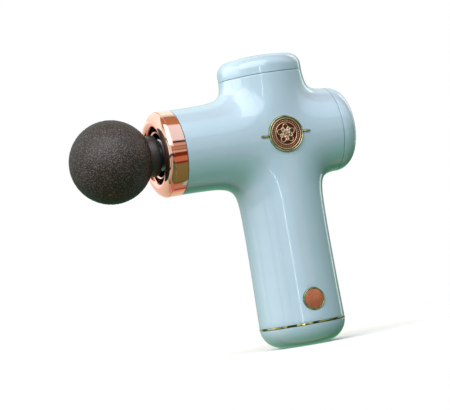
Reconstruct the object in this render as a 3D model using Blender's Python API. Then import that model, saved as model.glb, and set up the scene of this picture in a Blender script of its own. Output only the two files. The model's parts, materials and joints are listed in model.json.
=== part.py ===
"""Cordless mini massage gun.

A cross-shaped body holds an upright brushless motor in its top stub, two battery cells in its handle and a Scotch
yoke where the arms meet. The crank's roller runs in the yoke's slot, the yoke drives the plunger along the barrel, and
a foam ball on a push-in stem is the massage head.

Frame: +Z up the handle, the head points to -X, the power button and the medallion face -Y. The origin is the centre of
the flat under the bottom cap. Lengths below are millimetres, and h is a distance from the crossing of the barrel's and
the handle's axes, measured outwards along an arm.
"""

import math

import bmesh
import bpy
from mathutils import Matrix, Vector

MM = 0.001

# Body
AXIS_HEIGHT = 117.0
BODY_RADIUS = 23.6
WALL = 2.0
SPLIT_GAP = 0.3
BARREL_END = 58.2
REAR_END = 34.9
TOP_END = 34.9
HANDLE_END = 104.5
WAIST_RADIUS = 23.4
FOOT_RADIUS = 24.1
CORNER_PUSH = 1.2
OVERRUN = 3.0

# Caps, ring and trim
GAP = 0.3
TOP_CROWN = 46.9
TOP_SHOULDER = 45.6
TOP_CORNER = 6.9
REAR_CROWN = 46.4
REAR_SHOULDER = 45.3
REAR_CORNER = 9.0
SPIGOT_OUTER = 20.8
SPIGOT_INNER = 19.6
SPIGOT_LENGTH = 3.0
CAP_HOLLOW_RADIUS = 16.0
CAP_HOLLOW_WALL_END = 40.0
CAP_HOLLOW_CROWN_START = 43.0
FOOT_CENTRE = -105.0
FOOT_HOLLOW_RADIUS = 9.5
FOOT_HOLLOW_WALL_END = -108.0
TRIM_RADIUS = 24.3
TRIM_HEIGHT = 0.8
BASE_FLAT_RADIUS = 11.5
RING_RADIUS = 23.8
RING_BAND_END = 66.0
RING_FRONT = 70.0
RING_NOSE_RADIUS = 18.4
RING_BORE = 15.7
RING_HOLLOW = 17.2
LINER_RADIUS = 15.4
LINER_REAR = 60.2
LINER_FLOOR = 61.4
LINER_FRONT = 66.6
LINER_INNER_FRONT = 66.1
LIP_INNER = 12.2
LIP_OUTER = 13.1
LIP_REAR = 66.4
LIP_FRONT = 67.9

# Crank and yoke
THROW = 3.5
SHAFT_RADIUS = 2.0
RUNNING = 0.1
ROLLER_RADIUS = 4.5
YOKE_HALF_THICKNESS = 3.6
YOKE_HALF_LENGTH = 9.0
YOKE_HALF_WIDTH = 13.0
PLUNGER_RADIUS = 9.0
PLUNGER_FRONT = 66.8
PLUNGER_REAR = 22.6
PLUNGER_WEB_FRONT = 38.0
PLUNGER_WEB_REAR = 34.0
CROSS_PIN_H = 28.0
CROSS_PIN_RADIUS = 1.5

# Massage head
BALL_RADIUS = 23.3
BALL_H = 94.8
COLLAR_RADIUS = 11.5
COLLAR_REAR = 69.0
COLLAR_FRONT = 76.0
STEM_RADIUS = 6.0
STEM_END = 42.0
HUB_RADIUS = 9.0
HUB_FRONT = 90.5
RING_GROOVES = (51.0, 61.0)

# Motor
STATOR_LOW = 19.5
STATOR_HIGH = 28.5
TOOTH_COUNT = 6
TOOTH_HALF_WIDTH = 2.0
CORE_RADIUS = 7.2
SHOE_INNER = 12.2
SHOE_OUTER = 13.2
SHOE_HALF_ANGLE = 24.0
SCREW_COUNT = 4
SCREW_CIRCLE = 11.5

# Handle
CELL_RADIUS = 9.2
CELL_LENGTH = 65.0
CELL_TOP = -31.0
CELL_X = 9.35
CELL_Y = 1.5
BOARD_Y = -12.6
BOARD_THICKNESS = 1.6
BUTTON_Z = -92.2
BUTTON_RADIUS = 5.3
BUTTON_HOLE_RADIUS = 6.6
BUTTON_CROWN = -24.3
BUTTON_EDGE = -23.7
BUTTON_FLANGE_FRONT = -21.4
BUTTON_FLANGE_REAR = -20.4
BUTTON_STEP = -17.0
BUTTON_TIP = -15.4
MEDALLION_RADIUS = 10.1
MEDALLION_BORE = 9.2
MEDALLION_BACK = -23.3
MEDALLION_FRONT = -25.0
RECESS_FLOOR = -22.95
BAR_MIDDLE = 12.45
BAR_FRONT = -24.7
PORT_Z = -92.0
CUT_OUTSIDE = 30.0
CUT_INSIDE = 18.0

ROUND = 24
SMALL_ROUND = 16
CROSSING = Vector((0.0, 0.0, AXIS_HEIGHT))

MATERIALS = {
    "body_gloss": ((0.52, 0.69, 0.76), 0.18, 0.0),
    "rose_gold": ((0.90, 0.52, 0.40), 0.15, 1.0),
    "copper_brown": ((0.45, 0.25, 0.18), 0.3, 0.9),
    "dark_plastic": ((0.05, 0.055, 0.06), 0.3, 0.0),
    "foam": ((0.04, 0.038, 0.036), 0.9, 0.0),
    "black_rubber": ((0.02, 0.02, 0.02), 0.7, 0.0),
    "white_plastic": ((0.8, 0.8, 0.78), 0.5, 0.0),
    "steel": ((0.55, 0.55, 0.56), 0.3, 1.0),
    "aluminium": ((0.75, 0.76, 0.77), 0.35, 1.0),
    "brass": ((0.72, 0.55, 0.25), 0.3, 1.0),
    "copper_wire": ((0.72, 0.32, 0.15), 0.35, 0.9),
    "cell_wrap": ((0.10, 0.35, 0.20), 0.4, 0.0),
    "circuit_board": ((0.02, 0.20, 0.09), 0.5, 0.0),
}


def clear_scene():
    for existing in list(bpy.data.objects):
        bpy.data.objects.remove(existing, do_unlink=True)


def make_material(name):
    colour, roughness, metallic = MATERIALS[name]
    material = bpy.data.materials.new(name)
    material.use_nodes = True
    shader = material.node_tree.nodes["Principled BSDF"]
    shader.inputs["Base Color"].default_value = (*colour, 1.0)
    shader.inputs["Roughness"].default_value = roughness
    shader.inputs["Metallic"].default_value = metallic
    material.diffuse_color = (*colour, 1.0)
    return material


def make_body(name, x=0.0, y=0.0, z=0.0):
    """An empty on a joint's axis; x, y and z are counted from the crossing."""
    empty = bpy.data.objects.new(name, None)
    empty.empty_display_size = 0.01
    empty.location = (CROSSING + Vector((x, y, z))) * MM
    bpy.context.scene.collection.objects.link(empty)
    return empty


def place(name, bm, material, body):
    """Turn a bmesh in millimetres, counted from the crossing, into an object that hangs under its body's empty."""
    bmesh.ops.recalc_face_normals(bm, faces=bm.faces)
    for vertex in bm.verts:
        vertex.co *= MM
    mesh = bpy.data.meshes.new(name)
    bm.to_mesh(mesh)
    bm.free()
    mesh.shade_smooth()
    mesh.set_sharp_from_angle(angle=math.radians(35))
    thing = bpy.data.objects.new(name, mesh)
    bpy.context.scene.collection.objects.link(thing)
    if material:
        mesh.materials.append(PALETTE[material])
    if body:
        thing.parent = body
        thing.location = CROSSING * MM - body.location
    else:
        thing.location = CROSSING * MM
    return thing


def modify_boolean(thing, tool, operation):
    """Join, cut or trim a thing with another object, which then stays behind as a hidden guide."""
    modifier = thing.modifiers.new(operation.lower(), "BOOLEAN")
    modifier.operation = operation
    modifier.solver = "EXACT"
    modifier.object = tool
    tool.hide_render = True
    tool.display_type = "WIRE"


def along(axis, radial, turn, height):
    """A point at a radius and an angle about an axis through the crossing, at a height along that axis."""
    u = radial * math.cos(turn)
    v = radial * math.sin(turn)
    if axis == "X":
        return Vector((height, u, v))
    if axis == "Y":
        return Vector((v, height, u))
    return Vector((u, v, height))


def turned_bmesh(outline, axis, segments, centre=(0.0, 0.0, 0.0)):
    """Turn an outline of (radius, height) points about an axis. It closes on itself unless both ends are on the axis."""
    bm = bmesh.new()
    rings = []
    for radius, height in outline:
        count = segments if radius > 0 else 1
        points = [along(axis, radius, math.tau * k / segments, height) for k in range(count)]
        rings.append([bm.verts.new(point + Vector(centre)) for point in points])
    pairs = list(zip(rings, rings[1:]))
    if outline[0][0] > 0:
        pairs.append((rings[-1], rings[0]))
    for low, high in pairs:
        for k in range(segments):
            n = (k + 1) % segments
            corners = [low[k % len(low)], low[n % len(low)], high[n % len(high)], high[k % len(high)]]
            bm.faces.new(list(dict.fromkeys(corners)))
    return bm


def turned(name, outline, axis, material, body, segments=ROUND, centre=(0.0, 0.0, 0.0)):
    return place(name, turned_bmesh(outline, axis, segments, centre), material, body)


def tube_outline(inner, outer, low, high):
    return [(inner, low), (outer, low), (outer, high), (inner, high)]


def disc_outline(radius, low, high):
    return [(0.0, low), (radius, low), (radius, high), (0.0, high)]


def mirrored_heights(outline):
    """The same outline on the arm that points the other way."""
    return [(radius, -height) for radius, height in outline]


def prism_bmesh(outline, low, high, axis="Z"):
    """Extrude a plan outline between two heights. For axis Y the outline is (x, z), for X it is (y, z)."""
    bm = bmesh.new()

    def point(u, v, w):
        if axis == "X":
            return (w, u, v)
        if axis == "Y":
            return (u, w, v)
        return (u, v, w)

    bottom = [bm.verts.new(point(u, v, low)) for u, v in outline]
    top = [bm.verts.new(point(u, v, high)) for u, v in outline]
    count = len(outline)
    for k in range(count):
        n = (k + 1) % count
        bm.faces.new((bottom[k], bottom[n], top[n], top[k]))
    bm.faces.new(bottom)
    bm.faces.new(top)
    return bm


def prism(name, outline, low, high, material, body, axis="Z"):
    return place(name, prism_bmesh(outline, low, high, axis), material, body)


def rectangle(low_u, high_u, low_v, high_v):
    return [(low_u, low_v), (high_u, low_v), (high_u, high_v), (low_u, high_v)]


def block(name, low, high, material, body):
    return prism(name, rectangle(low[0], high[0], low[1], high[1]), low[2], high[2], material, body)


def arc(centre, radius, start, end, steps):
    """Points on an arc, angles in degrees."""
    points = []
    for k in range(steps + 1):
        turn = math.radians(start + (end - start) * k / steps)
        points.append((centre[0] + radius * math.cos(turn), centre[1] + radius * math.sin(turn)))
    return points


def bend(start, control, end, steps):
    """Points on the curve that leaves start towards control and reaches end from it."""
    points = []
    for k in range(steps + 1):
        t = k / steps
        weights = ((1 - t) ** 2, 2 * t * (1 - t), t * t)
        points.append(tuple(sum(w * p[i] for w, p in zip(weights, (start, control, end))) for i in (0, 1)))
    return points


def stadium(half_u, half_v, steps=8, centre=(0.0, 0.0)):
    """A slot's outline: two half circles of radius half_v, at most half_u from the centre. half_u is the longer."""
    reach = half_u - half_v
    right = arc((centre[0] + reach, centre[1]), half_v, -90, 90, steps)
    left = arc((centre[0] - reach, centre[1]), half_v, 90, 270, steps)
    return right + left


def swap(outline):
    return [(v, u) for u, v in outline]


# Body shells


def cross_cage(radius, barrel, rear, top, handle, waist, foot):
    """Octagonal cage of two crossing tubes. Subdivided, its arms turn round and blend into each other.

    The limit surface of a regular octagon has 0.902 of its radius, so the cage is that much larger.
    """
    limit = (4 + 2 * math.cos(math.radians(45))) / 6
    near = math.sin(math.radians(22.5)) / limit
    far = math.cos(math.radians(22.5)) / limit
    corner = far * radius + CORNER_PUSH
    bm = bmesh.new()
    crease = bm.edges.layers.float.new("crease_edge")
    centre = {}
    for side_x in (-1, 1):
        for side_z in (-1, 1):
            for side_y in (-1, 1):
                flat = (side_x * near * radius, side_y * far * radius, side_z * near * radius)
                edge = (side_x * corner, side_y * near * radius, side_z * corner)
                centre[side_x, 2 * side_y, side_z] = bm.verts.new(flat)
                centre[side_x, side_y, side_z] = bm.verts.new(edge)
    layout = [(2, 1), (1, 1), (-1, 1), (-2, 1), (-2, -1), (-1, -1), (1, -1), (2, -1)]

    def arm(axis, sign, stations):
        if axis == "X":
            ring = [centre[sign, depth, side] for depth, side in layout]
        else:
            ring = [centre[side, depth, sign] for depth, side in layout]
        for distance, local in stations:
            fresh = []
            for depth, side in layout:
                across = side * (near if abs(depth) == 2 else far) * local
                out = math.copysign(far if abs(depth) == 2 else near, depth) * local
                if axis == "X":
                    fresh.append(bm.verts.new((sign * distance, out, across)))
                else:
                    fresh.append(bm.verts.new((across, out, sign * distance)))
            for k in range(8):
                n = (k + 1) % 8
                bm.faces.new((ring[k], ring[n], fresh[n], fresh[k]))
            ring = fresh
        bm.faces.new(ring)
        for k in range(8):
            bm.edges.get((ring[k], ring[(k + 1) % 8]))[crease] = 1.0

    middle = (corner + barrel) / 2
    arm("X", -1, [(middle, radius), (barrel, radius)])
    arm("X", 1, [(rear, radius)])
    arm("Z", 1, [(top, radius)])
    third = (handle - corner) / 3
    arm("Z", -1, [(corner + third / 2, waist), (corner + 1.6 * third, waist), (handle, foot)])
    for depth in (-2, 2):
        bm.faces.new([centre[side] for side in ((-1, depth, -1), (1, depth, -1), (1, depth, 1), (-1, depth, 1))])
    return bm


def subdivide(thing, levels):
    modifier = thing.modifiers.new("round", "SUBSURF")
    modifier.levels = levels
    modifier.render_levels = levels
    modifier.use_limit_surface = True


def half_shell(name, side, body):
    """One half of the hollow body: side is -1 for the face with the button, 1 for the back."""
    outer = cross_cage(BODY_RADIUS, BARREL_END, REAR_END, TOP_END, HANDLE_END, WAIST_RADIUS, FOOT_RADIUS)
    shell = place(name, outer, "body_gloss", body)
    subdivide(shell, 1)
    hollow = cross_cage(
        BODY_RADIUS - WALL,
        BARREL_END + OVERRUN,
        REAR_END + OVERRUN,
        TOP_END + OVERRUN,
        HANDLE_END + OVERRUN,
        WAIST_RADIUS - WALL,
        FOOT_RADIUS - WALL,
    )
    hollow_cutter = place(name + "_hollow", hollow, None, None)
    subdivide(hollow_cutter, 1)
    modify_boolean(shell, hollow_cutter, "DIFFERENCE")
    reach = 150.0
    near_edge = SPLIT_GAP / 2
    low_y, high_y = (-reach, -near_edge) if side < 0 else (near_edge, reach)
    half = block(name + "_half", (-reach, low_y, -reach), (reach, high_y, reach), None, None)
    modify_boolean(shell, half, "INTERSECT")
    return shell


def body_shells(body):
    left = half_shell("left_shell", -1, body)
    button_hole = disc_outline(BUTTON_HOLE_RADIUS, -CUT_OUTSIDE, -CUT_INSIDE)
    recess = disc_outline(MEDALLION_RADIUS + 0.4, -CUT_OUTSIDE, RECESS_FLOOR)
    cutters = [
        turned("button_hole", button_hole, "Y", None, None, ROUND, (0.0, 0.0, BUTTON_Z)),
        turned("medallion_recess", recess, "Y", None, None, ROUND),
    ]
    for sign in (-1, 1):
        slot = stadium(2.45, 0.9, 4, (sign * BAR_MIDDLE, 0.0))
        cutters.append(place(f"accent_recess_{sign}", prism_bmesh(slot, -CUT_OUTSIDE, RECESS_FLOOR, "Y"), None, None))
    for cutter in cutters:
        modify_boolean(left, cutter, "DIFFERENCE")
    right = half_shell("right_shell", 1, body)
    port_hole = prism_bmesh(stadium(5.0, 2.0, 4, (0.0, PORT_Z)), CUT_INSIDE, CUT_OUTSIDE, "Y")
    modify_boolean(right, place("port_hole", port_hole, None, None), "DIFFERENCE")


# Caps, ring and trim


def stub_cap_outline(crown, shoulder, corner):
    """Domed cap of a stub, from its crown down the outside and back up the inside. Its corner is a quarter circle."""
    seam = TOP_END + GAP
    flat = BODY_RADIUS - corner
    points = [(0.0, crown), (flat / 2, crown - (crown - shoulder) / 4)]
    points += arc((flat, shoulder - corner), corner, 90, 0, 5)
    points += [(BODY_RADIUS, seam), (SPIGOT_OUTER, seam), (SPIGOT_OUTER, seam - SPIGOT_LENGTH)]
    points += [(SPIGOT_INNER, seam - SPIGOT_LENGTH), (SPIGOT_INNER, CAP_HOLLOW_WALL_END)]
    points += [(CAP_HOLLOW_RADIUS, CAP_HOLLOW_CROWN_START), (0.0, crown - WALL)]
    return points


def bottom_cap_outline():
    seam = -(HANDLE_END + TRIM_HEIGHT + 2 * GAP)
    low = -AXIS_HEIGHT
    points = [(0.0, low), (BASE_FLAT_RADIUS, low)]
    for k in range(1, 6):
        turn = math.radians(17.0 * k)
        radius = BASE_FLAT_RADIUS + (FOOT_RADIUS - BASE_FLAT_RADIUS) * math.sin(turn)
        points.append((radius, FOOT_CENTRE + (low - FOOT_CENTRE) * math.cos(turn)))
    points += [(FOOT_RADIUS, seam), (SPIGOT_OUTER, seam), (SPIGOT_OUTER, seam + SPIGOT_LENGTH)]
    points += [(SPIGOT_INNER, seam + SPIGOT_LENGTH), (SPIGOT_INNER, FOOT_HOLLOW_WALL_END)]
    points += [(FOOT_HOLLOW_RADIUS, low + WALL), (0.0, low + WALL)]
    return points


def nozzle_ring_outline():
    """Plated ring at the barrel's mouth: a flat band, a sloping face, a nose that rolls into the bore, and a spigot."""
    seam = BARREL_END + GAP
    nose = (RING_NOSE_RADIUS, RING_FRONT)
    points = [(RING_RADIUS, seam)]
    points += bend((RING_RADIUS, RING_BAND_END), (22.3, 69.2), nose, 4)
    points += bend(nose, (RING_BORE + 0.3, RING_FRONT), (RING_BORE, RING_FRONT - 2.6), 3)[1:]
    points += [(RING_BORE, seam + 0.5), (RING_HOLLOW, seam + 0.5), (RING_HOLLOW, RING_BAND_END + 0.5)]
    points += [(SPIGOT_INNER, RING_BAND_END - 0.5)]
    points += [(SPIGOT_INNER, seam - SPIGOT_LENGTH), (SPIGOT_OUTER, seam - SPIGOT_LENGTH), (SPIGOT_OUTER, seam)]
    return points


def nozzle_liner_outline():
    """Dark liner of the bore: a floor around the plunger with an outer wall and an inner wall standing on it."""
    hole = PLUNGER_RADIUS + 0.6
    outer_wall = LINER_RADIUS - 0.6
    inner_wall = LIP_INNER + 0.8
    points = [(hole, LINER_REAR), (LINER_RADIUS, LINER_REAR), (LINER_RADIUS, LINER_FRONT), (outer_wall, LINER_FRONT)]
    points += [(outer_wall, LINER_FLOOR), (inner_wall, LINER_FLOOR), (inner_wall, LINER_INNER_FRONT)]
    points += [(LIP_INNER, LINER_INNER_FRONT), (LIP_INNER, LINER_FLOOR), (hole, LINER_FLOOR)]
    return points


def nozzle_lip_outline():
    """Thin ring on the liner's inner wall, its front sloped to clear the ball at the end of its stroke."""
    points = [(LIP_INNER, LIP_REAR), (LIP_OUTER, LIP_REAR), (LIP_OUTER, LIP_FRONT - 0.2), (LIP_OUTER - 0.15, LIP_FRONT)]
    points += [(LIP_INNER + 0.1, LIP_FRONT - 0.45), (LIP_INNER, LIP_FRONT - 0.6)]
    return points


def covers(body):
    turned("top_cap", stub_cap_outline(TOP_CROWN, TOP_SHOULDER, TOP_CORNER), "Z", "body_gloss", body)
    turned("rear_cap", stub_cap_outline(REAR_CROWN, REAR_SHOULDER, REAR_CORNER), "X", "body_gloss", body)
    turned("bottom_cap", bottom_cap_outline(), "Z", "body_gloss", body)
    trim_top = -(HANDLE_END + GAP)
    trim = tube_outline(SPIGOT_OUTER + GAP, TRIM_RADIUS, trim_top - TRIM_HEIGHT, trim_top)
    turned("base_trim_ring", trim, "Z", "rose_gold", body)
    turned("nozzle_ring", mirrored_heights(nozzle_ring_outline()), "X", "rose_gold", body)
    turned("nozzle_lip", mirrored_heights(nozzle_lip_outline()), "X", "rose_gold", body)
    turned("nozzle_seal", mirrored_heights(nozzle_liner_outline()), "X", "black_rubber", body)


def emblem(body):
    """Plain round medallion with a bar on each side."""
    inner, outer = MEDALLION_BORE, MEDALLION_RADIUS
    back, front = MEDALLION_BACK, MEDALLION_FRONT
    bezel = [(inner, back), (outer, back), (outer, front + 0.3), (outer - 0.3, front), (inner + 0.3, front)]
    bezel += [(inner, front + 0.3)]
    turned("medallion_bezel", bezel, "Y", "copper_brown", body)
    edge = MEDALLION_BORE - GAP
    face = [(0.0, back), (edge, back), (edge, front + 0.4), (edge - 0.5, front + 0.2), (0.0, front + 0.2)]
    turned("medallion_disc", face, "Y", "rose_gold", body)
    for name, sign in (("accent_bar_front", -1), ("accent_bar_rear", 1)):
        bar = stadium(2.15, 0.6, 4, (sign * BAR_MIDDLE, 0.0))
        prism(name, bar, BAR_FRONT, MEDALLION_BACK, "copper_brown", body, "Y")


# Drive


def linear_guide(body):
    flange = [(11.3, 36.0), (13.5, 36.0), (13.5, 49.0), (20.4, 49.0), (20.4, 52.0), (13.5, 52.0), (13.5, 57.0), (11.3, 57.0)]
    turned("guide_carrier", mirrored_heights(flange), "X", "dark_plastic", body, SMALL_ROUND)
    sleeve = tube_outline(PLUNGER_RADIUS + 0.15, 11.0, 34.0, 59.5)
    turned("guide_bush", mirrored_heights(sleeve), "X", "white_plastic", body)
    plate = [(5.6, 23.0), (7.5, 23.0), (7.5, 24.5), (20.4, 24.5), (20.4, 26.5), (7.5, 26.5), (7.5, 28.0), (5.6, 28.0)]
    turned("rear_guide_plate", plate, "X", "dark_plastic", body, SMALL_ROUND)
    turned("rear_bush", tube_outline(3.0 + RUNNING, 5.3, 22.0, 29.0), "X", "brass", body, SMALL_ROUND)


def polar(radius, degrees):
    turn = math.radians(degrees)
    return (radius * math.cos(turn), radius * math.sin(turn))


def stator_core_bmesh():
    """Laminated core: a hub with straight teeth that end in curved shoes."""
    points = []
    neck = TOOTH_HALF_WIDTH
    for tooth in range(TOOTH_COUNT):
        middle = 360.0 * tooth / TOOTH_COUNT
        root = math.degrees(math.asin(neck / CORE_RADIUS))
        tip = math.degrees(math.asin(neck / SHOE_INNER))
        sides = [(CORE_RADIUS, -root), (SHOE_INNER, -tip), (SHOE_INNER, -SHOE_HALF_ANGLE)]
        sides += [(SHOE_OUTER, -SHOE_HALF_ANGLE), (SHOE_OUTER, 0.0), (SHOE_OUTER, SHOE_HALF_ANGLE)]
        sides += [(SHOE_INNER, SHOE_HALF_ANGLE), (SHOE_INNER, tip), (CORE_RADIUS, root)]
        points += [polar(radius, middle + offset) for radius, offset in sides]
    return prism_bmesh(points, STATOR_LOW, STATOR_HIGH)


def coil_bmesh(middle):
    """A rectangular winding around one tooth, turned to the tooth's angle."""
    outer = rectangle(-3.6, 3.6, STATOR_LOW - 1.7, STATOR_HIGH + 1.7)
    inner = rectangle(-2.4, 2.4, STATOR_LOW - 0.4, STATOR_HIGH + 0.4)
    bm = bmesh.new()
    loops = []
    for outline in (outer, inner):
        for distance in (8.3, 11.2):
            loops.append([bm.verts.new((distance, u, v)) for u, v in outline])
    outer_near, outer_far, inner_near, inner_far = loops
    for first, second in ((outer_near, outer_far), (inner_near, inner_far), (outer_near, inner_near), (outer_far, inner_far)):
        for k in range(4):
            n = (k + 1) % 4
            bm.faces.new((first[k], first[n], second[n], second[k]))
    bmesh.ops.rotate(bm, verts=bm.verts, matrix=Matrix.Rotation(math.radians(middle), 3, "Z"))
    return bm


def motor_fixed(body):
    """Bracket, base with its bearing tube, bearings, stator and screws: what stays still."""
    bracket = turned("motor_bracket", tube_outline(5.8, 20.4, 13.0, 15.0), "Z", "aluminium", body, SMALL_ROUND)
    base_outline = [(4.3, 11.2), (5.3, 11.2), (5.3, 15.3), (16.0, 15.3), (16.0, 17.3), (5.3, 17.3), (5.3, 30.6), (4.3, 30.6)]
    base = turned("motor_base", base_outline, "Z", "aluminium", body)
    for k in range(SCREW_COUNT):
        x, y = polar(SCREW_CIRCLE, 360.0 * (k + 0.5) / SCREW_COUNT)
        hole = turned(f"motor_screw_hole_{k + 1}", disc_outline(1.6, 10.0, 19.0), "Z", None, None, 12, (x, y, 0.0))
        modify_boolean(bracket, hole, "DIFFERENCE")
        modify_boolean(base, hole, "DIFFERENCE")
        screw = [(0.0, 11.3), (2.5, 11.3), (2.5, 12.7), (1.3, 12.7), (1.3, 17.0), (0.0, 17.0)]
        turned(f"motor_screw_{k + 1}", screw, "Z", "steel", body, 12, (x, y, 0.0))
    for name, low in (("motor_bearing_lower", 11.5), ("motor_bearing_upper", 27.3)):
        turned(name, tube_outline(SHAFT_RADIUS + RUNNING, 4.0, low, low + 3.0), "Z", "steel", body, SMALL_ROUND)
    core = place("stator_core", stator_core_bmesh(), "steel", body)
    core_bore = turned("core_bore", disc_outline(5.6, 18.0, 30.0), "Z", None, None)
    modify_boolean(core, core_bore, "DIFFERENCE")
    for tooth in range(TOOTH_COUNT):
        place(f"stator_coil_{tooth + 1}", coil_bmesh(360.0 * tooth / TOOTH_COUNT), "copper_wire", body)
    driver = block("motor_driver_board", (-10.0, -10.0, 36.0), (10.0, 10.0, 37.4), "circuit_board", body)
    chip = block("driver_chip", (-4.0, -4.0, 37.0), (4.0, 4.0, 38.6), None, None)
    modify_boolean(driver, chip, "UNION")


def crank(body, roller_body):
    """Shaft, rotor, crank with its pin, counterweight and the roller on the pin. The pin rests nearest the head."""
    turned("motor_shaft", disc_outline(SHAFT_RADIUS, 7.6, 33.6), "Z", "steel", body, SMALL_ROUND)
    bell = [(15.3, 18.0), (17.0, 18.0), (17.0, 32.7), (2.3, 32.7), (2.3, 31.2), (15.3, 31.2)]
    turned("rotor_bell", bell, "Z", "steel", body)
    turned("magnet_ring", tube_outline(13.5, 15.0, 18.6, 30.0), "Z", "dark_plastic", body)
    hub = [(0.0, 7.2), (2.3, 7.2), (2.3, 10.6), (8.0, 10.6), (8.0, 4.6), (0.0, 4.6)]
    disc = turned("crank_disc", hub, "Z", "steel", body)
    pin = disc_outline(SHAFT_RADIUS, -YOKE_HALF_THICKNESS, 5.4)
    modify_boolean(disc, turned("crank_pin", pin, "Z", None, None, SMALL_ROUND, (-THROW, 0.0, 0.0)), "UNION")
    sector = arc((0.0, 0.0), 14.5, -75, 75, 10) + arc((0.0, 0.0), 8.3, 75, -75, 8)
    prism("counterweight", sector, 5.0, 9.6, "brass", body)
    clip = tube_outline(2.3, 3.4, -3.4, -2.9)
    turned("crank_circlip", clip, "Z", "steel", body, SMALL_ROUND, (-THROW, 0.0, 0.0))
    roller = tube_outline(SHAFT_RADIUS + RUNNING, ROLLER_RADIUS, -2.6, 2.6)
    turned("crank_roller", roller, "Z", "steel", roller_body, ROUND, (-THROW, 0.0, 0.0))


def yoke_and_plunger(body, cover_body):
    """Yoke with a slot across the barrel, its guide rods and the plunger that it is pinned to."""
    front = -THROW - YOKE_HALF_LENGTH
    rear = -THROW + YOKE_HALF_LENGTH
    width = YOKE_HALF_WIDTH
    tongue = 4.6
    plan = [(rear, 2.0 - width), (rear, width - 2.0), (rear - 2.0, width), (front + 2.0, width), (front, width - 2.0)]
    plan += [(front, tongue), (-33.0, tongue), (-33.0, -tongue), (front, -tongue)]
    plan += [(front, 2.0 - width), (front + 2.0, -width), (rear - 2.0, -width)]
    yoke = prism("yoke", plan, -YOKE_HALF_THICKNESS, YOKE_HALF_THICKNESS, "aluminium", body)
    slot = swap(stadium(THROW + ROLLER_RADIUS + 0.5, ROLLER_RADIUS + RUNNING, 8, (0.0, -THROW)))
    modify_boolean(yoke, place("yoke_slot", prism_bmesh(slot, -10.0, 10.0), None, None), "DIFFERENCE")
    hole = turned("cross_pin_hole", disc_outline(CROSS_PIN_RADIUS + GAP, -12.0, 12.0), "Y", None, None, 12, (-CROSS_PIN_H, 0.0, 0.0))
    modify_boolean(yoke, hole, "DIFFERENCE")
    rod_hole = turned("tail_rod_hole", disc_outline(2.3, 2.3, 8.0), "X", None, None, SMALL_ROUND)
    modify_boolean(yoke, rod_hole, "DIFFERENCE")
    rod = [(0.0, 2.6), (2.0, 2.6), (2.0, rear + GAP), (3.0, rear + GAP), (3.0, 31.0), (2.4, 31.6), (0.0, 31.6)]
    turned("tail_rod", rod, "X", "steel", body, SMALL_ROUND)
    socket = STEM_RADIUS + 0.4
    tube = [(0.0, PLUNGER_WEB_FRONT), (socket, PLUNGER_WEB_FRONT), (socket, PLUNGER_FRONT)]
    tube += [(PLUNGER_RADIUS - 0.6, PLUNGER_FRONT), (PLUNGER_RADIUS, PLUNGER_FRONT - 0.6)]
    tube += [(PLUNGER_RADIUS, PLUNGER_REAR), (6.3, PLUNGER_REAR), (6.3, PLUNGER_WEB_REAR), (0.0, PLUNGER_WEB_REAR)]
    plunger = turned("plunger", mirrored_heights(tube), "X", "aluminium", body)
    modify_boolean(plunger, hole, "DIFFERENCE")
    turned("plunger_cross_pin", disc_outline(CROSS_PIN_RADIUS, -8.4, 8.4), "Y", "steel", body, 12, (-CROSS_PIN_H, 0.0, 0.0))
    cover = disc_outline(9.5, -5.9, -4.1)
    turned("grease_cover", cover, "Z", "dark_plastic", cover_body, ROUND, (-THROW, 0.0, 0.0))


def massage_head(body):
    """Foam ball on a stem that pushes into the plunger and is held by two O-rings."""
    groove = 4.9
    stem = [(0.0, HUB_FRONT), (HUB_RADIUS, HUB_FRONT), (HUB_RADIUS, COLLAR_FRONT), (COLLAR_RADIUS, COLLAR_FRONT)]
    stem += [(COLLAR_RADIUS, COLLAR_REAR + 0.6), (COLLAR_RADIUS - 0.6, COLLAR_REAR), (STEM_RADIUS, COLLAR_REAR)]
    for middle in reversed(RING_GROOVES):
        stem += [(STEM_RADIUS, middle + 1.0), (groove, middle + 1.0), (groove, middle - 1.0), (STEM_RADIUS, middle - 1.0)]
    stem += [(STEM_RADIUS, STEM_END + 1.0), (STEM_RADIUS - 1.0, STEM_END), (0.0, STEM_END)]
    turned("head_stem", mirrored_heights(stem), "X", "dark_plastic", body)
    for k, middle in enumerate(RING_GROOVES):
        section = arc((groove + 0.75, middle), 0.6, 0, 300, 5)
        turned(f"stem_o_ring_{k + 1}", mirrored_heights(section), "X", "black_rubber", body, SMALL_ROUND)
    mouth = COLLAR_RADIUS + GAP
    rim_turn = math.degrees(math.asin(mouth / BALL_RADIUS))
    ball = [(0.0, BALL_H + BALL_RADIUS)]
    for height, radius in arc((BALL_H, 0.0), BALL_RADIUS, 15, 180 - rim_turn, 10):
        ball.append((radius, height))
    inner = HUB_RADIUS + GAP
    ball += [(mouth, COLLAR_FRONT + GAP), (inner, COLLAR_FRONT + GAP), (inner, HUB_FRONT + GAP), (0.0, HUB_FRONT + GAP)]
    turned("foam_ball", mirrored_heights(ball), "X", "foam", body)


# Handle


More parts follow.
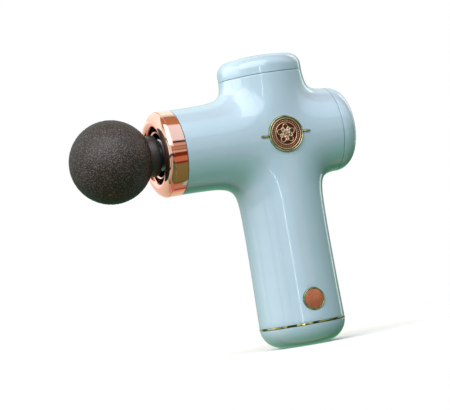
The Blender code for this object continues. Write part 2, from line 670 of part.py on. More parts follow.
def power_pack(body):
    base = CELL_TOP - CELL_LENGTH
    can = [(0.0, base), (CELL_RADIUS, base), (CELL_RADIUS, CELL_TOP - 1.0), (CELL_RADIUS - 1.0, CELL_TOP), (0.0, CELL_TOP)]
    turned("battery_cell_1", can, "Z", "cell_wrap", body, ROUND, (-CELL_X, CELL_Y, 0.0))
    turned("battery_cell_2", can, "Z", "cell_wrap", body, ROUND, (CELL_X, CELL_Y, 0.0))
    plate = stadium(19.6, 10.2, 8, (0.0, CELL_Y))
    prism("battery_cradle_upper", plate, CELL_TOP + 0.6, CELL_TOP + 2.6, "dark_plastic", body)
    prism("battery_cradle_lower", plate, base - 3.2, base - 1.2, "dark_plastic", body)
    block("battery_link", (-12.0, -2.0, base - 0.8), (12.0, 5.0, base - 0.4), "steel", body)
    board = block("control_board", (-14.0, BOARD_Y, -99.0), (14.0, BOARD_Y + BOARD_THICKNESS, -40.0), "circuit_board", body)
    inner_face = BOARD_Y + BOARD_THICKNESS
    for k, (x, z, half) in enumerate(((0.0, -58.0, 4.0), (6.5, -76.0, 2.5))):
        low = (x - half, inner_face - 0.5, z - half)
        high = (x + half, inner_face + 1.4, z + half)
        modify_boolean(board, block(f"board_chip_{k + 1}", low, high, None, None), "UNION")


def charge_port(body):
    """Small board at the back of the handle with the charging socket, whose mouth opens to +Y."""
    block("charge_board", (-7.0, 11.4, -96.6), (7.0, 12.7, -84.0), "circuit_board", body)
    shell_plan = stadium(4.5, 1.65, 4, (0.0, PORT_Z))
    port = prism("charge_port", shell_plan, 13.0, 22.4, "steel", body, "Y")
    cavity = prism_bmesh(stadium(4.15, 1.3, 4, (0.0, PORT_Z)), 14.6, 24.0, "Y")
    modify_boolean(port, place("port_cavity", cavity, None, None), "DIFFERENCE")
    tongue = block("port_tongue", (-3.3, 14.2, PORT_Z - 0.35), (3.3, 21.0, PORT_Z + 0.35), None, None)
    modify_boolean(port, tongue, "UNION")


def power_switch(body, button_body):
    """Button that slides in its bezel and pushes a sprung switch on the control board."""
    centre = (0.0, 0.0, BUTTON_Z)
    flange, neck, tip = BUTTON_HOLE_RADIUS - 0.5, 2.5, 1.5
    face = [(0.0, BUTTON_CROWN), (3.0, BUTTON_CROWN + 0.05), (4.8, BUTTON_CROWN + 0.25), (BUTTON_RADIUS, BUTTON_EDGE)]
    face += [(BUTTON_RADIUS, BUTTON_FLANGE_FRONT), (flange, BUTTON_FLANGE_FRONT), (flange, BUTTON_FLANGE_REAR)]
    face += [(neck, BUTTON_FLANGE_REAR), (neck, BUTTON_STEP), (tip, BUTTON_STEP), (tip, BUTTON_TIP), (0.0, BUTTON_TIP)]
    turned("power_button", face, "Y", "rose_gold", button_body, ROUND, centre)
    bezel_front, bezel_back = BUTTON_CROWN + 0.1, BUTTON_FLANGE_FRONT - GAP
    bezel = tube_outline(BUTTON_RADIUS + GAP, BUTTON_HOLE_RADIUS - GAP, bezel_front, bezel_back)
    turned("button_bezel", bezel, "Y", "copper_brown", body, ROUND, centre)
    low = (-3.0, -16.2, BUTTON_Z - 3.0)
    high = (3.0, BOARD_Y - GAP, BUTTON_Z + 3.0)
    switch = block("tact_switch", low, high, "dark_plastic", body)
    well = turned("switch_well", disc_outline(1.9, -20.0, -14.4), "Y", None, None, SMALL_ROUND, centre)
    modify_boolean(switch, well, "DIFFERENCE")


def build():
    housing = make_body("housing_axis")
    body_shells(housing)
    covers(housing)
    emblem(housing)
    linear_guide(housing)
    motor_fixed(housing)
    crank(make_body("crank_axis"), make_body("roller_axis", x=-THROW))
    yoke_and_plunger(make_body("plunger_axis", x=-THROW), make_body("cover_axis", x=-THROW / 2))
    massage_head(make_body("head_axis", x=-PLUNGER_FRONT))
    power_pack(housing)
    charge_port(housing)
    power_switch(housing, make_body("button_axis", z=BUTTON_Z))


clear_scene()
PALETTE = {name: make_material(name) for name in MATERIALS}
build()
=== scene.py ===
"""Looks of the mini massage gun: fine shells, ring, medallion, foam head, materials, lights and camera.

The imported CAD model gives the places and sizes. Outlines below are in millimetres: a radius, and a distance
along an arm from the crossing of the barrel's and the handle's axes. The head points to -X, the button to -Y.
"""

import json
import math

import bmesh
import bpy
from mathutils import Matrix, Vector, noise

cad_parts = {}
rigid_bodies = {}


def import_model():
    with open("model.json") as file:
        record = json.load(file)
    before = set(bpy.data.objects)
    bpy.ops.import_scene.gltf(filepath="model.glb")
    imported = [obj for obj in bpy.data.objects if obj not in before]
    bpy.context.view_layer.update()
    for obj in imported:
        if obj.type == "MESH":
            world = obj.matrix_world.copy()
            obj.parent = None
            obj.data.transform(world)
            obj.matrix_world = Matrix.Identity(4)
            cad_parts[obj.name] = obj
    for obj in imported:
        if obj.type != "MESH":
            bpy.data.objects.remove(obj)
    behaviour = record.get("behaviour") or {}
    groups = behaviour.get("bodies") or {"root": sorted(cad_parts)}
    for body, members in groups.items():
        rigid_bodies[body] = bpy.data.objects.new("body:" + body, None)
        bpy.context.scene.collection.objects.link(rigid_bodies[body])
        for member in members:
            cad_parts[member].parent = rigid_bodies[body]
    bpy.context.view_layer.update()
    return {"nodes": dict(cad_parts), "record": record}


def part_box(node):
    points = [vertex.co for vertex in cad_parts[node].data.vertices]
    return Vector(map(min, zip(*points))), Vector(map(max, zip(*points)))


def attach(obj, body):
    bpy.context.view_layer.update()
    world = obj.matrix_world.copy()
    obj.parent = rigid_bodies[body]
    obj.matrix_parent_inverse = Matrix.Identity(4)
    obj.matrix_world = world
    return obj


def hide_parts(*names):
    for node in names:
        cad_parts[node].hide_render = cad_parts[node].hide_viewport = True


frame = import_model()

MM = 0.001


def node_box(node):
    low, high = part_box(node)
    return low / MM, high / MM


# Sizes read from the frame, in millimetres

TOP_LOW, TOP_HIGH = node_box("top_cap")
REAR_LOW, REAR_HIGH = node_box("rear_cap")
FOOT_LOW, FOOT_HIGH = node_box("bottom_cap")
TRIM_LOW, TRIM_HIGH = node_box("base_trim_ring")
RING_LOW, RING_HIGH = node_box("nozzle_ring")
SHELL_LOW, SHELL_HIGH = node_box("left_shell")
LIP_LOW, LIP_HIGH = node_box("nozzle_lip")
SEAL_LOW, SEAL_HIGH = node_box("nozzle_seal")
BALL_LOW, BALL_HIGH = node_box("foam_ball")
BUTTON_LOW, BUTTON_HIGH = node_box("power_button")
BEZEL_LOW, BEZEL_HIGH = node_box("button_bezel")
COIN_LOW, COIN_HIGH = node_box("medallion_disc")
RIM_LOW, RIM_HIGH = node_box("medallion_bezel")
BAR_LOW, BAR_HIGH = node_box("accent_bar_rear")
PORT_LOW, PORT_HIGH = node_box("charge_port")

CROSSING = Vector(((TOP_LOW.x + TOP_HIGH.x) / 2, 0.0, (REAR_LOW.z + REAR_HIGH.z) / 2))
BODY_RADIUS = (TOP_HIGH.x - TOP_LOW.x) / 2
FOOT_RADIUS = (FOOT_HIGH.x - FOOT_LOW.x) / 2
BARREL_END = CROSSING.x - SHELL_LOW.x
REAR_END = SHELL_HIGH.x - CROSSING.x
TOP_END = SHELL_HIGH.z - CROSSING.z
HANDLE_END = CROSSING.z - SHELL_LOW.z
BUTTON_HEIGHT = (BUTTON_LOW.z + BUTTON_HIGH.z) / 2 - CROSSING.z
PORT_HEIGHT = (PORT_LOW.z + PORT_HIGH.z) / 2 - CROSSING.z
BAR_MIDDLE = (BAR_LOW.x + BAR_HIGH.x) / 2 - CROSSING.x

# Body

WAIST_RADIUS = 23.4
WALL = 2.0
CORNER_PUSH = 1.2
SPLIT = 0.12
SHELL_EDGE = 0.12
BODY_LEVELS = 4
CUT_OUTSIDE = -30.0
BUTTON_HOLE_FLOOR = -18.0
BUTTON_HOLE_PLAY = 0.15
RECESS_PLAY = 0.12
RECESS_DEPTH = 0.3
BAR_SLOT = (2.3, 0.72)
PORT_MOUTH = (5.0, 2.0)
PORT_MOUTH_START = 18.0
CUT_BEHIND = 30.0

# Caps

SEAM = 0.3
SPIGOT_OUTER = 20.8
SPIGOT_INNER = 19.6
SPIGOT_LENGTH = 3.0
CAP_HOLLOW = [(SPIGOT_INNER, 40.0), (16.0, 43.0)]
TOP_SHOULDER = 45.6
TOP_CORNER = 6.9
REAR_SHOULDER = 45.3
REAR_CORNER = 9.0
FOOT_FLAT = 11.5
FOOT_ROUNDING = 12.0
FOOT_HOLLOW_RADIUS = 9.5
FOOT_HOLLOW_END = -108.0
TRIM_INNER = 21.1

# Nozzle

RING_SEAM = 0.5
RING_BAND = 4.0
RING_BORE = 15.7
RING_NOSE_RADIUS = 18.4
RING_HOLLOW = 17.2
LINER_WALL = 0.6
LINER_FLOOR = 1.2
LINER_START = 11.0
LINER_MOUTH = 9.6
LIP_SEAT = 12.2
LIP_WIDTH = 0.9

# Medallion, button and charging socket

COIN_FACE_DEPTH = 0.25
COIN_FULL_RELIEF = 0.24
BEZEL_PLAY = 0.28
BUTTON_FLANGE = -21.4
BUTTON_BACK = -20.4
BUTTON_TIP = -15.4
PORT_SHELL = (4.5, 1.65)
PORT_INSIDE = (4.2, 1.35)
PORT_TONGUE = (3.3, 0.35)

# Massage head

BALL_MOUTH = 11.8
BALL_SEAT = 76.3
BALL_SOCKET_RADIUS = 9.3
BALL_SOCKET_END = 90.8
PEBBLE_HEIGHT = 0.26
COLLAR_RADIUS = 11.5
COLLAR_FRONT = 76.0
COLLAR_REAR = 69.0
STEM_RADIUS = 6.0
STEM_END = 42.0
STEM_ROOT_RADIUS = 9.0
STEM_ROOT_END = 90.5
GROOVES = (61.0, 51.0)
GROOVE_RADIUS = 4.9
GROOVE_HALF_WIDTH = 1.0

# Points round a turned piece

FINE = 128
FINEST = 192
BALL_POINTS = 432

# Node helpers for materials


class Wiring:
    """Adds shader nodes to a tree, each method returning the output to go on with."""

    def __init__(self, tree):
        self.tree = tree

    def link(self, source, target):
        self.tree.links.new(source, target)

    def math(self, operation, first, second=None):
        node = self.tree.nodes.new("ShaderNodeMath")
        node.operation = operation
        for value, socket in ((first, node.inputs[0]), (second, node.inputs[1])):
            if isinstance(value, float):
                socket.default_value = value
            elif value is not None:
                self.link(value, socket)
        return node.outputs["Value"]

    def ramp(self, source, stops):
        node = self.tree.nodes.new("ShaderNodeValToRGB")
        elements = node.color_ramp.elements
        while len(elements) < len(stops):
            elements.new(0.5)
        for element, (position, colour) in zip(elements, stops):
            element.position = position
            element.color = (*colour, 1.0)
        self.link(source, node.inputs["Fac"])
        return node.outputs["Color"]

    def grey(self, source, low, high, start=0.3, end=0.7):
        """Map a value onto a plain range, such as a roughness."""
        node = self.tree.nodes.new("ShaderNodeMapRange")
        node.inputs["From Min"].default_value = start
        node.inputs["From Max"].default_value = end
        node.inputs["To Min"].default_value = low
        node.inputs["To Max"].default_value = high
        self.link(source, node.inputs["Value"])
        return node.outputs["Result"]

    def mix(self, factor, first, second):
        node = self.tree.nodes.new("ShaderNodeMix")
        node.data_type = "RGBA"
        self.link(factor, node.inputs["Factor"])
        colours = [socket for socket in node.inputs if socket.type == "RGBA"]
        for value, socket in ((first, colours[0]), (second, colours[1])):
            if isinstance(value, tuple):
                socket.default_value = (*value, 1.0)
            else:
                self.link(value, socket)
        return [socket for socket in node.outputs if socket.type == "RGBA"][0]


class Painter(Wiring):
    """Builds one procedural material around a Principled shader. Texture scales are per metre."""

    def __init__(self, name, **sockets):
        self.material = bpy.data.materials.new(name)
        self.material.use_nodes = True
        super().__init__(self.material.node_tree)
        self.shader = self.tree.nodes["Principled BSDF"]
        for socket, value in sockets.items():
            self.shader.inputs[socket.replace("_", " ")].default_value = value
        self.place = self.tree.nodes.new("ShaderNodeTexCoord").outputs["Object"]

    def stretched(self, scale):
        mapping = self.tree.nodes.new("ShaderNodeMapping")
        mapping.inputs["Scale"].default_value = scale
        self.link(self.place, mapping.inputs["Vector"])
        return mapping.outputs["Vector"]

    def noise(self, scale, detail=3.0, where=None, roughness=0.5):
        node = self.tree.nodes.new("ShaderNodeTexNoise")
        node.inputs["Scale"].default_value = scale
        node.inputs["Detail"].default_value = detail
        node.inputs["Roughness"].default_value = roughness
        self.link(where or self.place, node.inputs["Vector"])
        return node.outputs["Fac"]

    def cells(self, scale, feature="F1"):
        node = self.tree.nodes.new("ShaderNodeTexVoronoi")
        node.feature = feature
        node.inputs["Scale"].default_value = scale
        self.link(self.place, node.inputs["Vector"])
        return node.outputs["Distance"]

    def bands(self, scale, direction="Z", distortion=0.0):
        node = self.tree.nodes.new("ShaderNodeTexWave")
        node.bands_direction = direction
        node.inputs["Scale"].default_value = scale
        node.inputs["Distortion"].default_value = distortion
        self.link(self.place, node.inputs["Vector"])
        return node.outputs["Fac"]

    def attribute(self, name):
        node = self.tree.nodes.new("ShaderNodeAttribute")
        node.attribute_name = name
        return node.outputs["Fac"]

    def bump(self, height, distance_mm, strength=1.0):
        node = self.tree.nodes.new("ShaderNodeBump")
        node.inputs["Distance"].default_value = distance_mm * MM
        node.inputs["Strength"].default_value = strength
        self.link(height, node.inputs["Height"])
        return node.outputs["Normal"]

    def set(self, socket, source):
        self.link(source, self.shader.inputs[socket])

    def done(self, colour):
        self.material.diffuse_color = (*colour, 1.0)
        return self.material


def srgb(red, green, blue):
    """Linear colour of a display colour given from 0 to 255."""
    shares = (red / 255, green / 255, blue / 255)
    return tuple(((c + 0.055) / 1.055) ** 2.4 if c > 10 / 255 else c / 12.92 for c in shares)


def mottled(name, light, dark, roughness, spread, blotch, grain, depth_mm, **sockets):
    """A finish whose colour drifts between two tones, with uneven roughness and a fine grain."""
    paint = Painter(name, **sockets)
    paint.set("Base Color", paint.mix(paint.grey(paint.noise(blotch, 4.0), 0.0, 1.0), light, dark))
    paint.set("Roughness", paint.grey(paint.noise(grain * 0.35, 3.0), roughness - spread, roughness + spread))
    paint.set("Normal", paint.bump(paint.noise(grain, 2.0), depth_mm))
    return paint.done(light)


def body_paint():
    """Lacquered aqua shell: a whisper of orange peel under a clear coat."""
    light = srgb(180, 205, 219)
    dark = srgb(175, 201, 216)
    coat = {"Coat_Weight": 1.0, "Coat_Roughness": 0.04}
    return mottled("aqua_lacquer", light, dark, 0.22, 0.03, 60.0, 700.0, 0.002, IOR=1.5, **coat)


def rose_gold():
    light = srgb(246, 206, 191)
    dark = srgb(243, 198, 182)
    return mottled("rose_gold_plate", light, dark, 0.07, 0.02, 90.0, 900.0, 0.0015, Metallic=1.0)


def antique_copper():
    """Relief metal that is dark in its hollows and bright on its high points."""
    paint = Painter("antique_copper", Metallic=0.9)
    relief = paint.attribute("relief")
    tones = [
        (0.0, srgb(92, 56, 38)),
        (0.3, srgb(142, 92, 62)),
        (0.6, srgb(206, 160, 124)),
        (1.0, srgb(255, 246, 228)),
    ]
    stain = paint.grey(paint.noise(900.0, 4.0), 0.0, 0.3)
    paint.set("Base Color", paint.mix(stain, paint.ramp(relief, tones), srgb(96, 62, 44)))
    paint.set("Roughness", paint.grey(paint.noise(1500.0, 3.0), 0.24, 0.42))
    paint.set("Normal", paint.bump(paint.noise(2500.0, 3.0), 0.015))
    return paint.done(srgb(150, 98, 72))


def olive_metal():
    # Dark olive metal with random pale patches of painted highlight.
    light = srgb(196, 210, 158)
    dark = srgb(84, 100, 60)
    return mottled("olive_metal", light, dark, 0.14, 0.05, 420.0, 1500.0, 0.004, Metallic=0.7)


def trim_metal():
    """Gold plating with random patches of painted reflection, bright gold and dark olive."""
    paint = Painter("trim_metal", Metallic=1.0)
    # Painted reflection: noise patches of bright gold and dark olive stand for reflected dashes, and they also
    # set the roughness.
    painted_reflection_patches = paint.grey(paint.noise(170.0, 3.0), 0.0, 1.0, 0.44, 0.56)
    paint.set("Base Color", paint.mix(painted_reflection_patches, srgb(226, 224, 124), srgb(58, 66, 34)))
    paint.set("Roughness", paint.grey(painted_reflection_patches, 0.1, 0.3, 0.0, 1.0))
    paint.set("Normal", paint.bump(paint.noise(1500.0), 0.003))
    return paint.done(srgb(200, 190, 110))


def copper_button():
    light = srgb(222, 146, 112)
    dark = srgb(206, 128, 96)
    return mottled("copper_button", light, dark, 0.24, 0.05, 260.0, 1600.0, 0.003, Metallic=0.6)


def satin_charcoal():
    light = srgb(44, 49, 52)
    dark = srgb(39, 43, 46)
    return mottled("satin_charcoal", light, dark, 0.36, 0.03, 150.0, 900.0, 0.001, Specular_IOR_Level=1.0)


def charcoal_foam():
    """Closed-cell foam skin, with painted shade between its pebbles and painted highlights on their tops."""
    paint = Painter("charcoal_foam", Specular_IOR_Level=0.6)
    cloud = paint.noise(1600.0, 5.0, roughness=0.7)
    height = paint.math("ADD", paint.attribute("relief"), paint.grey(cloud, -0.14, 0.14))
    # Dark to pale by pebble height: painted shade in the hollows, painted highlight on the pebble tops.
    tones = [
        (0.0, srgb(30, 25, 24)),
        (0.35, srgb(48, 43, 41)),
        (0.7, srgb(82, 74, 71)),
        (1.0, srgb(128, 118, 111)),
    ]
    paint.set("Base Color", paint.ramp(height, tones))
    paint.set("Roughness", paint.grey(cloud, 0.36, 0.6))
    paint.set("Normal", paint.bump(cloud, 0.1, 0.8))
    return paint.done(srgb(56, 53, 51))


def black_rubber():
    return mottled("black_rubber", srgb(24, 22, 22), srgb(16, 15, 15), 0.6, 0.08, 200.0, 1400.0, 0.01)


def liner_black():
    """Flocked black moulding at the bottom of the nozzle."""
    light = srgb(9, 8, 8)
    dark = srgb(5, 4, 4)
    return mottled("liner_black", light, dark, 0.6, 0.08, 200.0, 1400.0, 0.01, Specular_IOR_Level=0.12)


def dark_recess():
    return mottled("dark_recess", srgb(22, 20, 20), srgb(14, 13, 13), 0.35, 0.05, 200.0, 1400.0, 0.004)


def turned_metal(name, light, dark, metallic=1.0):
    """Machined metal with fine tool marks around its axis."""
    paint = Painter(name, Metallic=metallic)
    marks = paint.noise(300.0, 2.0, paint.stretched((1.0, 1.0, 14.0)))
    paint.set("Base Color", paint.mix(paint.grey(marks, 0.0, 1.0), light, dark))
    paint.set("Roughness", paint.grey(marks, 0.22, 0.42))
    paint.set("Normal", paint.bump(marks, 0.006))
    return paint.done(light)


def copper_winding():
    paint = Painter("copper_winding", Metallic=0.9, Coat_Weight=0.5, Coat_Roughness=0.1)
    turns = paint.bands(700.0, "Z", 0.4)
    paint.set("Base Color", paint.mix(turns, srgb(120, 58, 30), srgb(206, 118, 66)))
    paint.set("Roughness", paint.grey(turns, 0.25, 0.4))
    paint.set("Normal", paint.bump(turns, 0.12))
    return paint.done(srgb(190, 105, 60))


def circuit_board():
    """Green solder mask over faint copper tracks."""
    paint = Painter("circuit_board", Coat_Weight=0.4, Coat_Roughness=0.2)
    tracks = paint.cells(420.0, "DISTANCE_TO_EDGE")
    between = paint.grey(tracks, 0.0, 1.0, 0.02, 0.06)
    paint.set("Base Color", paint.mix(between, srgb(40, 120, 70), srgb(14, 74, 40)))
    paint.set("Roughness", paint.grey(tracks, 0.35, 0.5, 0.0, 0.2))
    paint.set("Normal", paint.bump(tracks, 0.03))
    return paint.done(srgb(20, 90, 50))


def cell_sleeve():
    light = srgb(70, 150, 110)
    dark = srgb(58, 134, 96)
    return mottled("cell_sleeve", light, dark, 0.3, 0.06, 180.0, 900.0, 0.006, Coat_Weight=0.3)


def bearing_plastic():
    light = srgb(226, 224, 216)
    dark = srgb(214, 211, 202)
    return mottled("bearing_plastic", light, dark, 0.45, 0.06, 220.0, 1200.0, 0.006)


MATERIALS = {
    "body_gloss": body_paint(),
    "rose_gold": rose_gold(),
    "copper_brown": olive_metal(),
    "dark_plastic": satin_charcoal(),
    "foam": charcoal_foam(),
    "black_rubber": black_rubber(),
    "white_plastic": bearing_plastic(),
    "steel": turned_metal("turned_steel", srgb(200, 202, 205), srgb(160, 163, 168)),
    "aluminium": turned_metal("turned_aluminium", srgb(222, 224, 227), srgb(190, 192, 196)),
    "brass": turned_metal("turned_brass", srgb(220, 188, 110), srgb(186, 152, 82)),
    "copper_wire": copper_winding(),
    "cell_wrap": cell_sleeve(),
    "circuit_board": circuit_board(),
}
RECESS = dark_recess()
LINER = liner_black()
TRIM_METAL = trim_metal()
RELIEF = antique_copper()
BUTTON_METAL = copper_button()

# Mesh helpers

ORIGIN = (0.0, 0.0, 0.0)


def rounded(corners, steps=5):
    """A polyline whose corners are rounded. Each corner is (radius, height) or (radius, height, rounding)."""
    points = []
    last = len(corners) - 1
    for k, corner in enumerate(corners):
        here = Vector(corner[:2])
        rounding = corner[2] if len(corner) > 2 else 0.0
        if rounding == 0.0 or k in (0, last):
            points.append(tuple(here))
            continue
        before = Vector(corners[k - 1][:2]) - here
        after = Vector(corners[k + 1][:2]) - here
        reach = min(rounding, 0.49 * before.length, 0.49 * after.length)
        start = here + before.normalized() * reach
        end = here + after.normalized() * reach
        for step in range(steps + 1):
            t = step / steps
            point = start * (1 - t) ** 2 + here * 2 * t * (1 - t) + end * t**2
            points.append(tuple(point))
    return points


def arc(centre, radius_u, radius_v, start, end, steps):
    """Points on an ellipse's arc, angles in degrees."""
    points = []
    for k in range(steps + 1):
        turn = math.radians(start + (end - start) * k / steps)
        points.append((centre[0] + radius_u * math.cos(turn), centre[1] + radius_v * math.sin(turn)))
    return points


def along(axis, radial, turn, height):
    u = radial * math.cos(turn)
    v = radial * math.sin(turn)
    if axis == "X":
        return Vector((height, u, v))
    if axis == "Y":
        return Vector((v, height, u))
    return Vector((u, v, height))


def turned(outline, axis, segments=FINE, centre=ORIGIN):
    """Turn an outline about an axis. It closes on itself unless both ends are on the axis."""
    bm = bmesh.new()
    rings = []
    for radius, height in outline:
        count = segments if radius > 1e-6 else 1
        points = [along(axis, radius, math.tau * k / segments, height) for k in range(count)]
        rings.append([bm.verts.new(point + Vector(centre)) for point in points])
    pairs = list(zip(rings, rings[1:]))
    if outline[0][0] > 1e-6:
        pairs.append((rings[-1], rings[0]))
    for low, high in pairs:
        for k in range(segments):
            n = (k + 1) % segments
            corners = [low[k % len(low)], low[n % len(low)], high[n % len(high)], high[k % len(high)]]
            bm.faces.new(list(dict.fromkeys(corners)))
    return bm


def make_object(name, bm, sharp=35.0):
    """A bmesh in millimetres, counted from the crossing, becomes an object at its place in the frame."""
    bmesh.ops.recalc_face_normals(bm, faces=bm.faces)
    for vertex in bm.verts:
        vertex.co = (vertex.co + CROSSING) * MM
    mesh = bpy.data.meshes.new(name)
    bm.to_mesh(mesh)
    bm.free()
    mesh.shade_smooth()
    mesh.set_sharp_from_angle(angle=math.radians(sharp))
    thing = bpy.data.objects.new(name, mesh)
    bpy.context.scene.collection.objects.link(thing)
    return thing


def settle(thing, sharp=35.0):
    """Apply a thing's modifiers."""
    graph = bpy.context.evaluated_depsgraph_get()
    mesh = bpy.data.meshes.new_from_object(thing.evaluated_get(graph))
    thing.modifiers.clear()
    thing.data = mesh
    mesh.shade_smooth()
    mesh.set_sharp_from_angle(angle=math.radians(sharp))


def show(thing, material, body, node):
    """Give a piece its material, its body and the CAD node it stands for."""
    thing.data.materials.clear()
    thing.data.materials.append(material)
    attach(thing, body)
    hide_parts(node)
    return thing


def lathe_piece(node, outline, axis, slot, body="housing", material=None, segments=FINE, centre=ORIGIN):
    """Turn an outline and let it stand for a CAD node."""
    thing = make_object("fine_" + node, turned(outline, axis, segments, centre))
    return show(thing, material or MATERIALS[slot], body, node)


def mirrored(outline):
    return [(radius, -height) for radius, height in outline]


# Body shells


def cross_cage(radius, barrel, rear, top, handle, waist, foot):
    """Octagonal cage of two crossing tubes, open at its four ends, whose subdivision is round and blended."""
    limit = (4 + 2 * math.cos(math.radians(45))) / 6
    near = math.sin(math.radians(22.5)) / limit
    far = math.cos(math.radians(22.5)) / limit
    corner = far * radius + CORNER_PUSH
    bm = bmesh.new()
    centre = {}
    for side_x in (-1, 1):
        for side_z in (-1, 1):
            for side_y in (-1, 1):
                flat = (side_x * near * radius, side_y * far * radius, side_z * near * radius)
                edge = (side_x * corner, side_y * near * radius, side_z * corner)
                centre[side_x, 2 * side_y, side_z] = bm.verts.new(flat)
                centre[side_x, side_y, side_z] = bm.verts.new(edge)
    layout = [(2, 1), (1, 1), (-1, 1), (-2, 1), (-2, -1), (-1, -1), (1, -1), (2, -1)]

    def arm(axis, sign, stations):
        if axis == "X":
            ring = [centre[sign, depth, side] for depth, side in layout]
        else:
            ring = [centre[side, depth, sign] for depth, side in layout]
        for distance, local in stations:
            fresh = []
            for depth, side in layout:
                across = side * (near if abs(depth) == 2 else far) * local
                out = math.copysign(far if abs(depth) == 2 else near, depth) * local
                point = (sign * distance, out, across) if axis == "X" else (across, out, sign * distance)
                fresh.append(bm.verts.new(point))
            for k in range(8):
                n = (k + 1) % 8
                bm.faces.new((ring[k], ring[n], fresh[n], fresh[k]))
            ring = fresh

    arm("X", -1, [((corner + barrel) / 2, radius), (barrel, radius)])
    arm("X", 1, [(rear, radius)])
    arm("Z", 1, [(top, radius)])
    third = (handle - corner) / 3
    arm("Z", -1, [(corner + third / 2, waist), (corner + 1.6 * third, waist), (handle, foot)])
    for depth in (-2, 2):
        corners = ((-1, depth, -1), (1, depth, -1), (1, depth, 1), (-1, depth, 1))
        bm.faces.new([centre[side] for side in corners])
    return bm


def half_body(name, side):
    """One moulded half of the body as a closed shell with softened edges."""
    bm = cross_cage(BODY_RADIUS, BARREL_END, REAR_END, TOP_END, HANDLE_END, WAIST_RADIUS, FOOT_RADIUS)
    shell = make_object(name, bm, 180.0)
    round_off = shell.modifiers.new("round", "SUBSURF")
    round_off.levels = BODY_LEVELS
    round_off.render_levels = BODY_LEVELS
    round_off.use_limit_surface = True
    settle(shell, 180.0)
    bm = bmesh.new()
    bm.from_mesh(shell.data)
    everything = bm.verts[:] + bm.edges[:] + bm.faces[:]
    edge = Vector((0.0, side * SPLIT / 2 * MM, 0.0))
    bmesh.ops.bisect_plane(bm, geom=everything, plane_co=edge, plane_no=(0.0, -side, 0.0), clear_outer=True)
    bm.to_mesh(shell.data)
    bm.free()
    wall = shell.modifiers.new("wall", "SOLIDIFY")
    wall.thickness = WALL * MM
    wall.offset = -1.0
    wall.use_even_offset = True
    return shell


def cut(thing, cutters):
    for cutter in cutters:
        modifier = thing.modifiers.new("cut", "BOOLEAN")
        modifier.operation = "DIFFERENCE"
        modifier.solver = "EXACT"
        modifier.object = cutter


def soften(thing, width_mm, segments=3, angle=40.0):
    bevel = thing.modifiers.new("edge", "BEVEL")
    bevel.width = width_mm * MM
    bevel.segments = segments
    bevel.limit_method = "ANGLE"
    bevel.angle_limit = math.radians(angle)
    bevel.harden_normals = False


def drop(things):
    for thing in things:
        bpy.data.objects.remove(thing, do_unlink=True)


def stadium(half_u, half_v, steps=16, centre=(0.0, 0.0)):
    reach = half_u - half_v
    right = arc((centre[0] + reach, centre[1]), half_v, half_v, -90, 90, steps)
    return right + arc((centre[0] - reach, centre[1]), half_v, half_v, 90, 270, steps)


def prism(outline, low, high):
    """Extrude an (x, z) outline along Y."""
    bm = bmesh.new()
    ends = [[bm.verts.new((u, depth, v)) for u, v in outline] for depth in (low, high)]
    for k in range(len(outline)):
        n = (k + 1) % len(outline)
        bm.faces.new((ends[0][k], ends[0][n], ends[1][n], ends[1][k]))
    bm.faces.new(ends[0])
    bm.faces.new(ends[1])
    return bm


def drill(radius, floor, segments, centre=ORIGIN):
    """Round cutter that comes in from the front as far as a floor."""
    outline = [(0.0, CUT_OUTSIDE), (radius, CUT_OUTSIDE), (radius, floor), (0.0, floor)]
    return turned(outline, "Y", segments, centre)


def body_shells():
    """The two halves, with the holes for the button and the charging socket and the medallion's recess."""
    left = half_body("fine_left_shell", -1)
    floor = RIM_HIGH.y + RECESS_DEPTH
    hole_radius = BEZEL_HIGH.x - CROSSING.x + BUTTON_HOLE_PLAY
    hole = drill(hole_radius, BUTTON_HOLE_FLOOR, 96, (0.0, 0.0, BUTTON_HEIGHT))
    recess = drill(RIM_HIGH.x - CROSSING.x + RECESS_PLAY, floor, 128)
    cutters = [make_object("button_hole", hole), make_object("medallion_recess", recess)]
    for sign in (-1, 1):
        slot = prism(stadium(*BAR_SLOT, 12, (sign * BAR_MIDDLE, 0.0)), CUT_OUTSIDE, floor)
        cutters.append(make_object(f"accent_recess_{sign}", slot))
    cut(left, cutters)
    soften(left, SHELL_EDGE)
    settle(left, 30.0)
    drop(cutters)
    show(left, MATERIALS["body_gloss"], "housing", "left_shell")
    right = half_body("fine_right_shell", 1)
    opening = stadium(*PORT_MOUTH, 16, (0.0, PORT_HEIGHT))
    mouth = make_object("port_mouth", prism(opening, PORT_MOUTH_START, CUT_BEHIND))
    cut(right, [mouth])
    soften(right, SHELL_EDGE)
    settle(right, 30.0)
    drop([mouth])
    show(right, MATERIALS["body_gloss"], "housing", "right_shell")


# Caps, ring and trim


def bend(start, control, end, steps):
    """Points on the curve that leaves start towards control and reaches end from it."""
    points = []
    for k in range(steps + 1):
        t = k / steps
        weights = ((1 - t) ** 2, 2 * t * (1 - t), t * t)
        points.append(tuple(sum(w * p[i] for w, p in zip(weights, (start, control, end))) for i in (0, 1)))
    return points


def stub_cap(seam, crown, shoulder, corner):
    """Domed cap: a shallow dome, a quarter circle and a short straight wall, with a spigot inside."""
    flat = BODY_RADIUS - corner
    points = [(flat * k / 12, crown - (crown - shoulder) * (k / 12) ** 2) for k in range(12)]
    points += arc((flat, shoulder - corner), corner, corner, 90, 0, 28)
    wall = [(BODY_RADIUS, shoulder - corner), (BODY_RADIUS, seam, 0.12), (SPIGOT_OUTER, seam)]
    points += rounded(wall, 4)[1:]
    points += [(SPIGOT_OUTER, seam - SPIGOT_LENGTH), (SPIGOT_INNER, seam - SPIGOT_LENGTH)]
    return points + CAP_HOLLOW + [(0.0, crown - WALL)]


